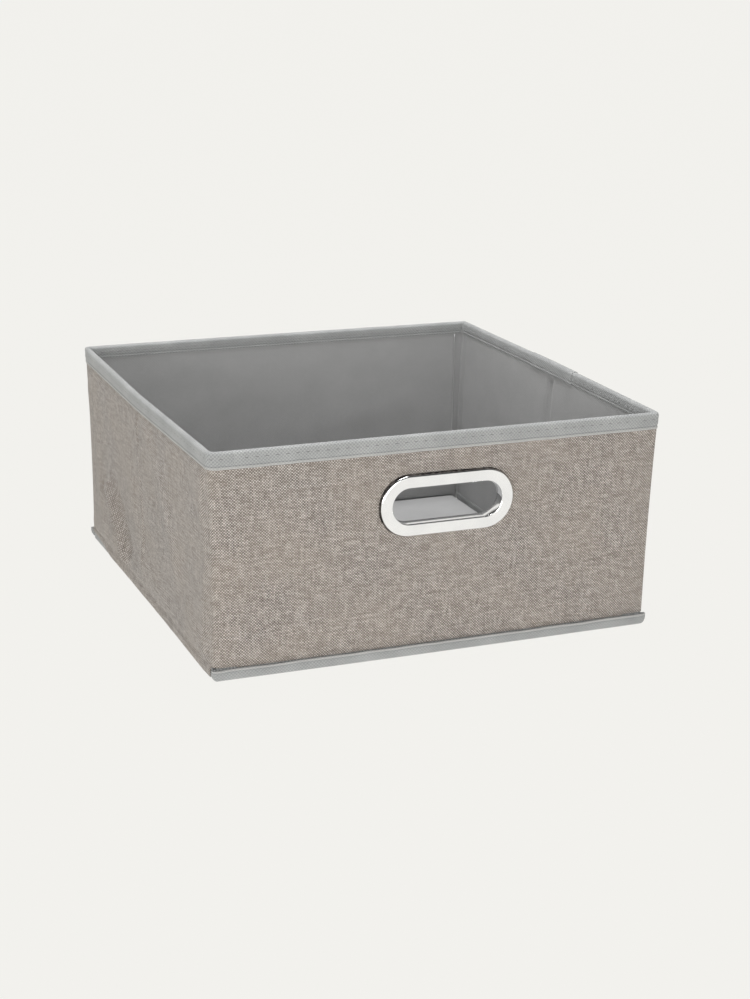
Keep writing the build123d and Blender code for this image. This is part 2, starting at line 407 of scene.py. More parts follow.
# --- Materials -----------------------------------------------------------------------------------
class Shader:
    """A short way to write node trees: each method adds a node and returns its output socket."""

    def __init__(self, name):
        self.material = bpy.data.materials.new(name)
        self.material.use_nodes = True
        self.tree = self.material.node_tree
        self.bsdf = self.tree.nodes["Principled BSDF"]

    def node(self, kind, **settings):
        made = self.tree.nodes.new(kind)
        for key, value in settings.items():
            setattr(made, key, value)
        return made

    def plug(self, socket, value):
        if isinstance(value, bpy.types.NodeSocket):
            self.tree.links.new(value, socket)
        else:
            socket.default_value = value

    def math(self, operation, a, b=0.0, c=0.0):
        made = self.node("ShaderNodeMath", operation=operation)
        for socket, value in zip(made.inputs, (a, b, c)):
            self.plug(socket, value)
        return made.outputs[0]

    def times(self, a, b):
        return self.math("MULTIPLY", a, b)

    def plus(self, a, b):
        return self.math("ADD", a, b)

    def minus(self, a, b):
        return self.math("SUBTRACT", a, b)

    def times_plus(self, a, b, c):
        return self.math("MULTIPLY_ADD", a, b, c)

    def strip(self):
        """The strip attribute's three parts: along, up and depth, in metres."""
        attribute = self.node("ShaderNodeAttribute", attribute_name="strip")
        parts = self.node("ShaderNodeSeparateXYZ")
        self.plug(parts.inputs[0], attribute.outputs["Vector"])
        return attribute.outputs["Vector"], parts.outputs[0], parts.outputs[1]

    def vector(self, x, y, z=0.0):
        made = self.node("ShaderNodeCombineXYZ")
        for socket, value in zip(made.inputs, (x, y, z)):
            self.plug(socket, value)
        return made.outputs[0]

    def noise(self, vector, scale, detail=2.0, roughness=0.5):
        made = self.node("ShaderNodeTexNoise")
        self.plug(made.inputs["Vector"], vector)
        for name, value in (("Scale", scale), ("Detail", detail), ("Roughness", roughness)):
            made.inputs[name].default_value = value
        return made.outputs["Fac"]

    def white(self, vector):
        made = self.node("ShaderNodeTexWhiteNoise")
        self.plug(made.inputs["Vector"], vector)
        return made.outputs["Value"]

    def ramp(self, value, low, high, to_low=0.0, to_high=1.0):
        made = self.node("ShaderNodeMapRange")
        for socket, entry in zip(made.inputs, (value, low, high, to_low, to_high)):
            self.plug(socket, entry)
        return made.outputs[0]

    def mix(self, factor, a, b, blend="MIX"):
        made = self.node("ShaderNodeMix", data_type="RGBA", blend_type=blend)
        self.plug(made.inputs[0], factor)
        self.plug(made.inputs[6], a)
        self.plug(made.inputs[7], b)
        return made.outputs[2]

    def bump(self, height, strength, distance):
        made = self.node("ShaderNodeBump")
        made.inputs["Strength"].default_value = strength
        made.inputs["Distance"].default_value = distance
        self.plug(made.inputs["Height"], height)
        return made.outputs[0]

    def finish(self, color, normal=None, **values):
        self.plug(self.bsdf.inputs["Base Color"], color)
        if normal is not None:
            self.plug(self.bsdf.inputs["Normal"], normal)
        for name, value in values.items():
            self.plug(self.bsdf.inputs[name.replace("_", " ")], value)
        return self.material


def rgb(red, green, blue):
    """A colour given in sRGB 0 to 255, as linear values."""
    parts = []
    for value in (red, green, blue):
        value /= 255
        parts.append(value / 12.92 if value <= 0.04045 else ((value + 0.055) / 1.055) ** 2.4)
    return (*parts, 1.0)


THREAD = 0.00096  # metres from one thread to the next


def woven_fabric():
    """Melange taupe plain weave: light weft over darker warp, uneven threads and slubs, with painted shade in the
    gaps between threads.
    """
    m = Shader("melange_taupe_weave")
    place_on_strip, along, up = m.strip()
    wander = m.noise(place_on_strip, 60.0, 2.0)
    along = m.plus(along, m.times(m.minus(wander, 0.5), 0.0009))
    up = m.plus(up, m.times(m.minus(wander, 0.5), 0.0007))
    u, v = m.math("DIVIDE", along, THREAD), m.math("DIVIDE", up, THREAD)
    warp, weft = m.math("FLOOR", u), m.math("FLOOR", v)
    across_warp = m.minus(m.math("FRACT", u), 0.5)
    across_weft = m.minus(m.math("FRACT", v), 0.5)
    over = m.math("MODULO", m.plus(m.plus(warp, weft), 4000.0), 2.0)
    warp_round = m.math("COSINE", m.times(across_warp, math.pi))
    weft_round = m.math("COSINE", m.times(across_weft, math.pi))
    both = m.times(warp_round, weft_round)
    warp_high = m.times_plus(m.times(over, both), 0.6, m.times(warp_round, 0.4))
    under = m.minus(1.0, over)
    weft_high = m.times_plus(m.times(under, both), 0.6, m.times(weft_round, 0.4))
    height = m.math("MAXIMUM", warp_high, weft_high)
    on_top = m.math("GREATER_THAN", weft_high, warp_high)
    # Each thread has its own shade, which also drifts along it
    warp_shade = m.white(m.vector(warp, 3.0))
    weft_shade = m.white(m.vector(7.0, weft))
    warp_drift = m.noise(m.vector(m.times(warp, 0.45), m.times(up, 130.0)), 1.0, 2.0)
    weft_drift = m.noise(m.vector(m.times(along, 130.0), m.times(weft, 0.45)), 1.0, 2.0)
    knot = m.white(m.vector(warp, weft))
    warp_tone = m.times_plus(warp_shade, 0.1, m.times_plus(knot, 0.26, warp_drift))
    weft_tone = m.times_plus(weft_shade, 0.1, m.times_plus(knot, 0.26, weft_drift))
    warp_color = m.mix(m.ramp(warp_tone, 0.4, 0.95), rgb(90, 82, 75), rgb(152, 143, 135))
    weft_color = m.mix(m.ramp(weft_tone, 0.4, 0.95), rgb(178, 170, 164), rgb(240, 234, 229))
    color = m.mix(on_top, warp_color, weft_color)
    # Painted shade in the low gaps between the threads
    painted_gap_shade = m.ramp(height, 0.1, 0.62)
    color = m.mix(painted_gap_shade, rgb(58, 50, 44), color)
    # Thicker stretches of thread, level and upright, which show from far off too
    level = m.noise(m.vector(m.times(along, 90.0), m.times(up, 560.0)), 1.0, 1.0)
    upright = m.noise(m.vector(m.times(along, 560.0), m.times(up, 90.0), 5.0), 1.0, 1.0)
    slub = m.times(m.plus(level, upright), 0.5)
    color = m.mix(m.ramp(slub, 0.36, 0.5, 0.24, 0.0), color, rgb(104, 95, 88))
    color = m.mix(m.ramp(slub, 0.5, 0.64, 0.0, 0.24), color, rgb(222, 214, 207))
    blotch = m.noise(place_on_strip, 22.0, 3.0)
    color = m.mix(m.ramp(blotch, 0.35, 0.65, 0.0, 0.22), color, rgb(172, 160, 146))
    fibre = m.noise(place_on_strip, 5200.0, 2.0)
    bumped = m.times_plus(fibre, 0.16, height)
    normal = m.bump(bumped, 0.55, 0.00035)
    return m.finish(color, normal, Roughness=0.88, Sheen_Weight=0.25, Sheen_Roughness=0.5, Specular_IOR_Level=0.2)


def nonwoven(name, light, dark, emboss, depth, contrast, emboss_edge, edge_band=0.0):
    """Grey spunbonded non-woven: fine fibres with rows of embossed points, emboss metres apart.

    A tape has a lighter band along its first edge, edge_band metres wide, with painted shade in the groove beside
    it."""
    m = Shader(name)
    place_on_strip, along, up = m.strip()
    u = m.math("DIVIDE", m.plus(along, up), emboss)
    v = m.math("DIVIDE", m.minus(along, up), emboss)
    ridge_u = m.math("ABSOLUTE", m.minus(m.math("FRACT", u), 0.5))
    ridge_v = m.math("ABSOLUTE", m.minus(m.math("FRACT", v), 0.5))
    point = m.ramp(m.plus(ridge_u, ridge_v), *emboss_edge)
    fibre = m.noise(place_on_strip, 2600.0, 4.0, 0.65)
    cloud = m.noise(place_on_strip, 45.0, 3.0)
    tone = m.times_plus(cloud, 0.2, m.times(fibre, 0.8))
    color = m.mix(m.ramp(tone, 0.3, 0.7), dark, light)
    color = m.mix(m.ramp(point, 0.0, 1.0, contrast, 0.0), color, dark)
    if edge_band:
        band = m.ramp(up, edge_band * 0.85, edge_band, 0.3, 0.0)
        color = m.mix(band, color, rgb(206, 203, 199))
        # Painted shade along the groove
        groove = m.math("ABSOLUTE", m.minus(up, edge_band * 1.2))
        color = m.mix(m.ramp(groove, 0.0, edge_band * 0.2, 0.5, 0.0), color, dark)
    height = m.times_plus(fibre, 0.35, point)
    normal = m.bump(height, 0.5, depth)
    return m.finish(color, normal, Roughness=0.7, Sheen_Weight=0.2, Sheen_Roughness=0.4, Specular_IOR_Level=0.45)


def object_noise(m, scale, detail=3.0):
    coordinates = m.node("ShaderNodeTexCoord")
    return m.noise(coordinates.outputs["Object"], scale, detail)


def thread_material():
    m = Shader("grey_thread_with_painted_dimple_shade")
    # Grey thread, painted darker than its own grey to stand for the shade of the needle dimples it sits in
    twist = object_noise(m, 2400.0, 1.0)
    color = m.mix(twist, rgb(84, 84, 84), rgb(136, 136, 136))
    return m.finish(color, m.bump(twist, 0.4, 0.0001), Roughness=0.6, Sheen_Weight=0.3)


def board_material():
    m = Shader("grey_board")
    grain = object_noise(m, 700.0, 5.0)
    color = m.mix(grain, rgb(122, 112, 99), rgb(168, 157, 142))
    return m.finish(color, m.bump(grain, 0.3, 0.0002), Roughness=0.9)


def ring_material():
    m = Shader("polished_ring")
    smear = object_noise(m, 60.0, 4.0)
    rough = m.ramp(smear, 0.3, 0.7, 0.1, 0.2)
    fine = object_noise(m, 1500.0, 2.0)
    color = m.mix(m.ramp(smear, 0.3, 0.7), (0.9, 0.9, 0.905, 1), (0.97, 0.97, 0.97, 1))
    # Painted dark reflection, mottled, on the ring's flank where the swept ring's attribute marks it
    painted_dark_reflection = m.node("ShaderNodeAttribute", attribute_name="painted_dark_reflection").outputs["Fac"]
    speckle = object_noise(m, 420.0, 3.0)
    dark = m.mix(m.ramp(speckle, 0.45, 0.75), (0.045, 0.045, 0.05, 1), (0.4, 0.39, 0.38, 1))
    color = m.mix(painted_dark_reflection, color, dark)
    return m.finish(color, m.bump(fine, 0.05, 0.00002), Metallic=1.0, Roughness=rough)


weave = woven_fabric()
lining_cloth = nonwoven(
    "grey_lining", rgb(182, 182, 182), rgb(150, 150, 150), 0.0021, 0.0001, 0.25, (0.12, 0.4)
)
tape_cloth = nonwoven(
    "grey_binding", rgb(214, 215, 214), rgb(112, 114, 115), 0.0023, 0.0003, 0.5, (0.25, 0.75), edge_band=0.002
)
thread_cloth = thread_material()
board_paper = board_material()
ring_metal = ring_material()

MATERIALS = {
    "outer_fabric": weave,
    "lining_fabric": lining_cloth,
    "binding_tape": tape_cloth,
    "thread": thread_cloth,
    "stiffener": board_paper,
    "ring_metal": ring_metal,
}


def dress(piece, slot):
    """Gives a piece its material and its slot."""
    piece.data.materials.clear()
    piece.data.materials.append(MATERIALS[slot])


# --- Flat layers of the walls --------------------------------------------------------------------
def layer_piece(name, cut, low, high, depth, thickness, relief=None, direction=1.0, rows_step=3.0):
    """One flat layer of a stretch of the strip, lifted off its board by relief."""
    s = stations(*cut)[None, :]
    rows = max(2, round((high - low) / rows_step))
    z = np.linspace(low, high, rows)[:, None]
    shift = 0.0
    if relief:
        fade = smooth(z, low - 1, low + 8) * (1 - smooth(z, high - 16, high - 9))
        corner = 1 - smooth(np.abs(wall_of(s)[1]), STRAIGHT - 8, STRAIGHT + 2)
        shift = direction * relief_over(s, z, relief) * fade * corner
    if relief is lining_relief:
        shift = shift + crease_sink(s) * (1 - smooth(z, high - 12, high - 8))
    outer = place(s, depth, z, shift)
    inner = place(s, depth + thickness, z, shift)
    return shell(name, outer, inner, strip_at(s, z, 0.0), strip_at(s, z, thickness))


def cut_slot(piece, grow):
    """Cuts the hand slot through a front layer."""
    profile = slot_outline(grow, 48)
    count = len(profile)
    near, far = -HALF - 12, -HALF + 12
    points = [(x, near, z) for x, z in profile] + [(x, far, z) for x, z in profile]
    faces = [tuple(range(count)), tuple(range(2 * count - 1, count - 1, -1))]
    faces += [(k, count + k, count + (k + 1) % count, (k + 1) % count) for k in range(count)]
    cutter = put("slot_cutter", points, faces)
    modifier = piece.modifiers.new("slot", "BOOLEAN")
    modifier.object = cutter
    modifier.operation = "DIFFERENCE"
    modifier.solver = "EXACT"
    bpy.context.view_layer.update()
    graph = bpy.context.evaluated_depsgraph_get()
    piece_mesh = bpy.data.meshes.new_from_object(
        piece.evaluated_get(graph), preserve_all_data_layers=True, depsgraph=graph
    )
    piece.modifiers.clear()
    piece.data = piece_mesh
    bpy.data.objects.remove(cutter)
    places = np.array([vertex.co for vertex in piece_mesh.vertices])
    if "strip" in piece_mesh.attributes:
        piece_mesh.attributes.remove(piece_mesh.attributes["strip"])
    layer = piece_mesh.attributes.new("strip", "FLOAT_VECTOR", "POINT")
    flat = np.stack([places[:, 0] / flare(places[:, 2] / MM)[:, 0], places[:, 2], 0 * places[:, 0]], axis=1)
    layer.data.foreach_set("vector", flat.astype(np.float32).ravel())


OPENING = (75.0, 24.0)  # of the hand slot
WIDENED = 0.9  # how much longer each end of it is than the CAD's
COLLAR = 0.8  # thickness of the metal collar that lines it
RING_PROUD = 0.9  # how much further forward the ring's face stands than the CAD's


def slot_outline(grow, count):
    """Points of the hand slot's outline, grown outwards by grow, as (x, z)."""
    radius = OPENING[1] / 2 + grow
    half = OPENING[0] / 2 - OPENING[1] / 2 + WIDENED
    points = []
    for side in (1, -1):
        for k in range(count // 2):
            angle = math.pi * (k / (count / 2 - 1) - 0.5)
            x = side * (half + radius * math.cos(angle))
            points.append((RING_MIDDLE[0] + x, RING_MIDDLE[2] + side * radius * math.sin(angle)))
    return points


def build_layers():
    """Outer fabric, lining and boards."""
    for cut, ends in CUTS.items():
        cover_bottom = WALL_BOTTOM - (0.8 if cut == "front" else 0.0)
        cover = layer_piece(
            f"{cut}_outer_fabric", ends, cover_bottom, FABRIC_TOP, COVER_DEPTH, COVER_THICK, cover_relief
        )
        lining_bottom = WALL_BOTTOM - 2.6
        lining = layer_piece(
            f"{cut}_inner_lining", ends, lining_bottom, FABRIC_TOP, LINING_DEPTH, LINING_THICK, lining_relief, -1.0
        )
        if cut == "front":
            cut_slot(cover, COLLAR + 0.3)
            cut_slot(lining, COLLAR + 0.3)
        for piece, slot, layer in ((cover, "outer_fabric", "cover"), (lining, "lining_fabric", "lining")):
            dress(piece, slot)
            follow(piece, cut)
            stand_for(cut, layer)
    build_boards()


def build_boards():
    """The stiffeners, leaned with their walls."""
    walls = {"front": FRONT, "back": BACK, "left_front": LEFT, "left_rear": LEFT}
    walls.update({"right_front": RIGHT, "right_rear": RIGHT})
    for name, wall in walls.items():
        low, high = node_box(f"{name}_board")
        axis = 0 if wall in (FRONT, BACK) else 1
        ends = sorted(ALONG[wall][axis] * value for value in (low[axis], high[axis]))
        ends = [np.clip(end, -STRAIGHT, STRAIGHT) + wall * SIDE for end in ends]
        board = layer_piece(f"{name}_stiffener", ends, low[2], high[2], BOARD_DEPTH, BOARD_THICK, rows_step=9.0)
        if wall == FRONT:
            cut_slot(board, COLLAR + 0.3)
        dress(board, "stiffener")
        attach(board, name)
        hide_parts(f"{name}_board")


# --- Rim tape ------------------------------------------------------------------------------------
def tape_section():
    """The rim tape's outer line as (depth, z), from its outside lower edge over the top to its inside one."""
    bottom, top, radius = TAPE_OUTSIDE, HEIGHT, 2.1
    band = 2.0  # the selvage along each edge, marked off by a groove
    line = [(0.35, bottom), (0.1, bottom + 0.25), (0.0, bottom + 1.0), (0.02, bottom + band - 0.3)]
    line += [(0.34, bottom + band + 0.1), (0.3, bottom + band + 0.5), (0.06, bottom + band + 1.1)]
    line += [(-0.12, bottom + 5.0), (-0.02, bottom + 6.6), (-0.06, top - radius - 0.8)]
    for k in range(9):
        angle = math.pi / 2 * k / 8
        line.append((radius - radius * math.cos(angle), top - radius + radius * math.sin(angle)))
    inside = WALL
    for k in range(1, 9):
        angle = math.pi / 2 * k / 8
        line.append((inside - radius + radius * math.sin(angle), top - radius + radius * math.cos(angle)))
    low = top - 9.0
    line += [(inside - 0.02, top - 4.0), (inside + 0.05, top - 5.6), (inside - 0.05, low + 2.0)]
    line += [(inside - 0.3, low + 1.7), (inside, low + 1.2), (inside - 0.05, low + 0.25), (inside - 0.3, low)]
    return np.array(line)


def thickened(line, thickness):
    """The line moved inwards by thickness, along its normals."""
    direction = np.gradient(line, axis=0)
    direction /= np.linalg.norm(direction, axis=1)[:, None]
    normal = np.stack([direction[:, 1], -direction[:, 0]], axis=1)
    return line + normal * thickness


def build_rim_tape():
    line = tape_section()
    inner_line = thickened(line, 0.5)
    length = travelled(line)
    for cut, ends in CUTS.items():
        s = stations(*ends, step=2.5)
        wave = 0.28 * rumple(s, 0.0, 17.0, 3.1) + 0.12 * rumple(s, 0.0, 5.0, 8.4)
        edge = smooth(HEIGHT - line[:, 1], 6.0, 11.0)[:, None] * wave[None, :]
        z = line[:, 1][:, None] + edge
        inner_z = inner_line[:, 1][:, None] + edge
        # The stitches pull the tape in a little
        pull = 0.2 * bump(line[:, 1], STITCH_LINE, 0.9)[:, None] * np.abs(np.cos(s * math.pi / 6.5))[None, :]
        side = np.where(line[:, 0] < WALL / 2, -1.0, 1.0)[:, None]
        outer = place(s[None, :], line[:, 0][:, None], z, pull * side)
        inner = place(s[None, :], inner_line[:, 0][:, None], inner_z)
        strip = strip_at(s[None, :], length[:, None], 0.0)
        piece = shell(f"{cut}_rim_binding", outer, inner, strip, strip)
        dress(piece, "binding_tape")
        follow(piece, cut)
        stand_for(cut, "rim_tape")


def build_overlap():
    """The doubled stretch where the tape's ends meet, over the top and inside the right wall."""
    line = tape_section()
    from_top = next(i for i, (_, z) in enumerate(line) if z > HEIGHT - 1.4)
    line = thickened(line, -0.45)[from_top:]
    inner_line = thickened(line, 0.4)
    length = travelled(line) + 4
    start = node_box("right_front_tape_overlap")[0][1]
    end = node_box("right_rear_tape_overlap")[1][1]
    s = stations(SIDE + start, SIDE + end, step=2.0)
    wave = 0.4 * rumple(s, 1.0, 4.0, 6.6)[None, :] * smooth(HEIGHT - line[:, 1], 4.0, 9.0)[:, None]
    outer = place(s[None, :], line[:, 0][:, None], line[:, 1][:, None] + wave)
    inner = place(s[None, :], inner_line[:, 0][:, None], inner_line[:, 1][:, None] + wave)
    strip = strip_at(s[None, :], length[:, None], 0.0)
    piece = shell("right_binding_overlap", outer, inner, strip, strip)
    dress(piece, "binding_tape")
    follow(piece, "right")
    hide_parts("right_front_tape_overlap", "right_rear_tape_overlap")


def build_corner_seam():
    """The folded seam inside the back right corner, a thin standing edge."""
    low, high = node_box("corner_seam_tape")
    z = np.linspace(low[2], high[2], 50)
    x = high[0] - 2.2 + 0.5 * rumple(z, 0.0, 24.0, 4.4)
    wide = 1.5 + 0.3 * rumple(z, 3.0, 15.0, 1.4)
    sections = []
    for k in range(8):
        angle = 2 * math.pi * k / 8
        across = x + wide / 2 * math.cos(angle)
        sections.append(np.stack([across, high[1] - 0.55 + 0.5 * math.sin(angle) + 0 * z, z], axis=1))
    points = np.stack(sections, axis=1)
    faces = []
    for r in range(len(z) - 1):
        for k in range(8):
            a, b = r * 8 + k, r * 8 + (k + 1) % 8
            faces.append((a, b, b + 8, a + 8))
    faces.append(tuple(range(7, -1, -1)))
    faces.append(tuple(range((len(z) - 1) * 8, len(z) * 8)))
    ridge = put("corner_seam_edge", points, faces, strip_at(x, z, 0.0)[:, None].repeat(8, axis=1))
    dress(ridge, "lining_fabric")
    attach(ridge, "back")
    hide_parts("corner_seam_tape")


def capsules(name, places, length, radius, depth_at):
    """Small thread stitches at places (s, z, inside) on the strip."""
    points, faces = [], []
    around, along = 6, 5
    for s, z, inside in places:
        base = len(points)
        for i in range(along):
            t = i / (along - 1)
            thick = radius * max(0.25, math.sin(math.pi * (0.12 + 0.76 * t)))
            here = s + (t - 0.5) * length
            for j in range(around):
                angle = 2 * math.pi * j / around
                depth = depth_at(inside) - thick * math.cos(angle) * (1 if not inside else -1)
                points.append(place(here, depth, z + thick * math.sin(angle)).ravel())
        for i in range(along - 1):
            for j in range(around):
                a, b = base + i * around + j, base + i * around + (j + 1) % around
                quad = (a, b, b + around, a + around)
                faces.append(quad[::-1] if inside else quad)
        cap = tuple(range(base, base + around))
        end = tuple(range(base + (along - 1) * around, base + along * around))
        faces.append(cap[::-1] if not inside else cap)
        faces.append(end if not inside else end[::-1])
    return put(name, points, faces)


def build_stitches():
    pitch, length = 6.5, 3.4
    for cut, ends in CUTS.items():
        first = math.ceil((ends[0] + 2.2) / pitch)
        last = math.floor((ends[1] - 2.2) / pitch)
        places = []
        for k in range(first, last + 1):
            for inside in (False, True):
                places.append((k * pitch, STITCH_LINE, inside))
        sunk = {False: 0.24, True: WALL - 0.05}  # depth of a stitch's middle, outside and inside
        piece = capsules(f"{cut}_rim_stitching", places, length, 0.3, sunk.get)
        dress(piece, "thread")
        follow(piece, cut)
        stand_for(cut, "rim_stitches")


# --- Hand-slot ring ------------------------------------------------------------------------------
def ring_of(name, profile, samples=96):
    """Sweeps a closed profile of (grow, y) points round the slot's outline."""
    outlines = [slot_outline(grow, samples) for grow, _ in profile]
    points = []
    for k in range(samples):
        for (_, y), outline in zip(profile, outlines):
            points.append((outline[k][0], y, outline[k][1]))
    return put(name, points, sweep_faces(samples, len(profile)))


def arc(centre, radius, start, end, steps, squeeze=1.0):
    """Points of an arc in the profile's plane, from one angle to another, in degrees."""
    points = []
    for k in range(steps + 1):
        angle = math.radians(start + (end - start) * k / steps)
        points.append((centre[0] + radius * math.cos(angle), centre[1] + squeeze * radius * math.sin(angle)))
    return points


def build_rings():
    face = ring_low[1] - RING_PROUD
    wall = -HALF + COVER_DEPTH
    outer = RING_SIZE[2] / 2 - OPENING[1] / 2 + 0.3
    rear = ring_high[1]
    back_low, back_high = node_box("handle_back_ring")
    # Each profile is (outwards from the opening, y), where the front is the negative side
    profile = arc((0.9, face + 0.9), 0.9, 180, 270, 6)
    profile += [(2.4, face), (outer / 2, face - 0.1), (outer - 1.9, face)]
    profile += arc((outer - 1.5, face + 1.5), 1.5, 270, 345, 7)
    flank = len(profile)
    profile += [(outer + 0.35, (face + wall) / 2 + 0.3), (outer + 0.75, wall - 0.35), (outer + 0.7, wall + 0.1)]
    back = len(profile)
    profile += [(COLLAR + 0.4, wall + 0.1), (COLLAR, wall + 0.5), (COLLAR, rear - 0.4), (COLLAR - 0.2, rear)]
    profile += [(0.2, rear), (0.0, rear - 0.3)]
    front_ring = ring_of("hand_slot_ring", profile)
    # The flank is marked for a painted dark reflection
    paint_flank_reflection(front_ring, [1.0 if flank - 3 < i < back else 0.0 for i in range(len(profile))])
    sharpen(front_ring, 40)
    dress(front_ring, "ring_metal")
    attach(front_ring, "front")
    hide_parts("handle_ring")
    spread = (back_high[2] - back_low[2]) / 2 - OPENING[1] / 2
    near, far = back_low[1], back_high[1]
    profile = [(COLLAR + 0.1, near), (spread, near), (spread, near + 0.4)]
    profile += arc((spread - 0.9, near + 0.4), 0.9, 0, 90, 5, squeeze=(far - near - 0.4) / 0.9)
    profile += arc((COLLAR + 1.0, near + 0.4), 0.9, 90, 180, 5, squeeze=(far - near - 0.4) / 0.9)
    back_ring = ring_of("hand_slot_back_ring", profile)
    paint_flank_reflection(back_ring, [0.0] * len(profile))
    sharpen(back_ring, 40)
    dress(back_ring, "ring_metal")
    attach(back_ring, "front")
    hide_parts("handle_back_ring")


def paint_flank_reflection(piece, values):
    """Marks how much painted dark reflection each line of a swept ring gets, as an attribute."""
    layer = piece.data.attributes.new("painted_dark_reflection", "FLOAT", "POINT")
    count = len(piece.data.vertices) // len(values)
    layer.data.foreach_set("value", np.tile(values, count).astype(np.float32))


# --- Bottom seams and cover ----------------------------------------------------------------------
def lip_section(proud, inward):
    """A bound seam's outline as (depth, z), from its outer top edge down and round to its inner top edge."""
    out, inn = -proud, inward - proud
    top, radius = LIP_TOP, 1.5
    line = [(out + 0.9, top), (out + 0.25, top - 0.25), (out + 0.05, top - 0.9), (out + 0.3, top - 1.6)]
    line += [(out + 0.42, top - 2.0), (out + 0.12, top - 2.7), (out, 3.6), (out + 0.02, radius + 0.5)]
    for k in range(7):
        angle = math.pi / 2 * k / 6
        line.append((out + radius - radius * math.cos(angle), radius - radius * math.sin(angle)))
    for k in range(1, 7):
        angle = math.pi / 2 * k / 6
        line.append((inn - radius + radius * math.sin(angle), radius - radius * math.cos(angle)))
    line += [(inn, 3.6), (inn, top - 1.0), (inn - 0.3, top - 0.2), (inn - 0.8, top)]
    return np.array(line)


def build_lips():
    for wall, name in enumerate(("front", "right", "back", "left")):
        low, high = node_box(f"{name}_bottom_tape")
        axis = 0 if wall in (FRONT, BACK) else 1
        other = 1 - axis
        proud = max(abs(low[other]), abs(high[other])) - HALF - (0.0 if wall in (FRONT, BACK) else 0.7)
        inward = high[other] - low[other]
        half = (high[axis] - low[axis]) / 2 + (1.6 if wall in (FRONT, BACK) else -1.0)
        line = lip_section(proud, inward)
        length = travelled(line)
        rounded = half - 4.0 + 4.0 * np.sin(np.linspace(0, math.pi / 2, 9))
        u = np.concatenate([-rounded[::-1], np.linspace(-half + 4.0, half - 4.0, 110)[1:-1], rounded])
        end = np.clip((half - np.abs(u)) / 4.0, 0, 1)
        shrink = np.sqrt(1 - (1 - end) ** 2) * 0.8 + 0.2
        middle = inward / 2 - proud
        depth = middle + (line[:, 0][:, None] - middle) * shrink[None, :]
        lift = smooth(line[:, 1], 1.0, 7.0)[:, None]
        wave = (0.35 * rumple(u, float(wall), 19.0, 5.5) + 0.12 * rumple(u, 2.0, 6.0, 1.5))[None, :] * lift
        z = LIP_TOP - (LIP_TOP - line[:, 1][:, None]) * shrink[None, :] + wave - 0.35 * lift
        sway = 0.35 * rumple(u, 9.0, 40.0, 2.2)[None, :] * np.ones_like(depth)
        s = u + wall * SIDE
        stretch = np.clip(s - wall * SIDE, -STRAIGHT, STRAIGHT) + wall * SIDE
        outer = place(stretch[None, :], depth, z, np.clip(sway, -1, 0.2))
        outer[..., axis] += (ALONG[wall][axis] * (s - stretch))[None, :]
        centre = np.array([middle, LIP_TOP * 0.55])
        core_depth = centre[0] + (depth - centre[0]) * 0.62
        core_z = centre[1] + (z - centre[1]) * 0.72
        core = place(stretch[None, :], core_depth, np.minimum(core_z, z), np.clip(sway, -1, 0.2))
        core[..., axis] += (ALONG[wall][axis] * (s - stretch))[None, :]
        strip = strip_at(s[None, :], length[:, None], 0.0)
        piece = shell(f"{name}_bottom_binding", outer, core, strip, strip)
        dress(piece, "binding_tape")
        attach(piece, "back" if wall == BACK else "front")
        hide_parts(f"{name}_bottom_tape", f"{name}_seam_allowance")
        if wall == BACK:  # the back one gets a mesh of its own
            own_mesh(piece)
        elif wall != FRONT:
            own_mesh(piece)


def build_hems():
    """The side covers' lower edges, which hang over the bound seams below them."""
    for wall, name in ((LEFT, "left"), (RIGHT, "right")):
        u = np.linspace(-HALF + 4.5, HALF - 4.5, 141)
        far = -u if wall == LEFT else u
        foot = 0.9 + 5.0 * smooth(far, 96, 140) + 1.0 * (1 - smooth(far, -150, -135))
        foot = foot + 0.5 * np.abs(rumple(u, 4.0 + wall, 26.0, 7.7))
        t = np.linspace(0, 1, 9)[:, None]
        top = WALL_BOTTOM + 4.5
        z = top + (foot[None, :] - top) * t
        out = 1.3 * smooth(t, 0.3, 0.75) - 0.4 * smooth(t, 0.85, 1.0)
        out = out * (0.75 + 0.25 * rumple(u, 1.0 + wall, 30.0, 3.3))[None, :] + 0.06
        s = u + wall * SIDE
        outer = place(s[None, :], COVER_DEPTH, z, out)
        inner = place(s[None, :], COVER_DEPTH + 0.5, z, out)
        strip = strip_at(s[None, :], z, 0.0)
        piece = shell(f"{name}_hem", outer, inner, strip, strip)
        dress(piece, "outer_fabric")
        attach(piece, "front")
        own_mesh(piece)


def flat_sheet(name, half_x, half_y, bottom, thickness, cells, seed, wave):
    """A flat sheet with a little waviness, of one thickness."""
    x = np.linspace(-half_x, half_x, cells)[None, :]
    y = np.linspace(-half_y, half_y, cells)[:, None]
    ripple = wave * (0.5 + 0.5 * rumple(x, y, 42.0, seed)) * smooth(half_x - np.abs(x), 0, 20)
    ripple = ripple * smooth(half_y - np.abs(y), 0, 20)
    xs, ys = np.broadcast_arrays(x, y)
    low = np.stack([xs, ys, bottom + ripple], axis=-1)
    high = np.stack([xs, ys, bottom + thickness + ripple], axis=-1)
    strip = strip_at(x, y, 0.0)
    return shell(name, low[::-1], high[::-1], strip[::-1], strip[::-1])


def build_bottom():
    low, high = node_box("bottom_cover")
    cover = flat_sheet("bottom_cloth", high[0], high[1], low[2], high[2] - low[2], 61, 4.0, 0.0)
    dress(cover, "lining_fabric")
    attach(cover, "front")
    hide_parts("bottom_cover")
    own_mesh(cover)


REAR_EDGE = 0.9  # how much further back the base panel's rear edge stands than the CAD's


